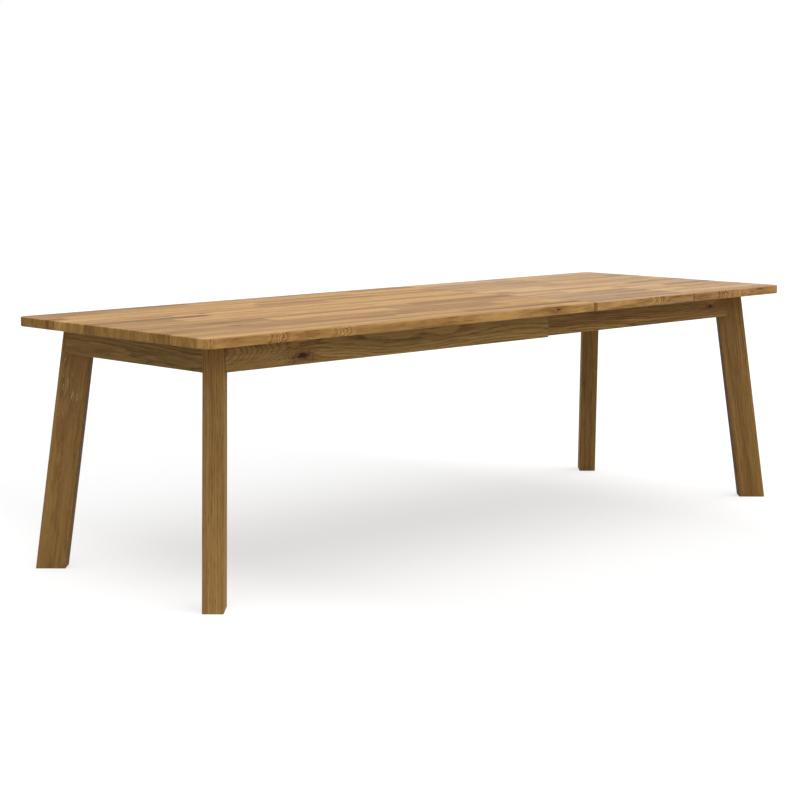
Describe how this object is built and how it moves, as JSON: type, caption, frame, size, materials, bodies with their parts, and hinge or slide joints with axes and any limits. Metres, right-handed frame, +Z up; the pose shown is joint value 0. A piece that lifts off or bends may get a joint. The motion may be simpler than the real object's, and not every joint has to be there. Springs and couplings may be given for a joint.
{
  "type": "extending dining table",
  "caption": "Extending oak dining table with splayed diagonal legs, a pull-out end frame and lay-on leaves that continue the main top.",
  "frame": {"origin": "on the floor under the middle of the extended table", "axes": "+X along the table towards the pull-out end, +Y from the front to the back, +Z up"},
  "size_m": [2.6, 0.9, 0.758],
  "materials": {
    "oak_top": "oiled oak staves",
    "oak_frame": "oiled oak",
    "oak_inner": "planed oak, unfinished",
    "beech": "waxed beech",
    "zinc_steel": "zinc plated"
  },
  "bodies": {
    "main_frame": {"main_top": "oak_top", "leg_left_front": "oak_frame", "leg_left_back": "oak_frame", "main_apron_front": "oak_frame", "main_apron_back": "oak_frame", "end_apron_left": "oak_frame", "corner_brace_left_front": "oak_inner", "corner_brace_left_back": "oak_inner", "leg_bolts_left": "zinc_steel", "leg_nuts_left": "zinc_steel", "top_batten_left": "oak_inner", "top_batten_right": "oak_inner", "end_cleat": "oak_inner", "extension_stops": "oak_inner", "closing_stops": "oak_inner", "apron_dowels": "beech", "top_screws": "zinc_steel"},
    "end_frame": {"leg_right_front": "oak_frame", "leg_right_back": "oak_frame", "slide_rail_front": "oak_frame", "slide_rail_back": "oak_frame", "tongue_front": "beech", "tongue_back": "beech", "end_apron_right": "oak_frame", "frame_cross_rail": "oak_inner", "cross_rail_dowels": "beech", "corner_brace_right_front": "oak_inner", "corner_brace_right_back": "oak_inner", "leg_bolts_right": "zinc_steel", "leg_nuts_right": "zinc_steel"},
    "inner_leaf": {"leaf_inner": "oak_top", "leaf_inner_batten_left": "oak_inner", "leaf_inner_batten_right": "oak_inner", "leaf_inner_screws": "zinc_steel", "leaf_inner_pins": "beech"},
    "outer_leaf": {"leaf_outer": "oak_top", "leaf_outer_batten_left": "oak_inner", "leaf_outer_batten_right": "oak_inner", "leaf_outer_screws": "zinc_steel", "leaf_outer_pins": "beech"}
  },
  "joints": [
    {"name": "end_frame_slide", "type": "slide", "parent": "main_frame", "child": "end_frame", "axis": [1, 0, 0], "range_m": [-1, 0]},
    {"name": "inner_leaf_pull", "type": "slide", "parent": "main_frame", "child": "inner_leaf", "axis": [1, 0, 0], "range_m": [0, 1.02]},
    {"name": "outer_leaf_pull", "type": "slide", "parent": "inner_leaf", "child": "outer_leaf", "axis": [1, 0, 0], "range_m": [0, 0.52]}
  ]
}
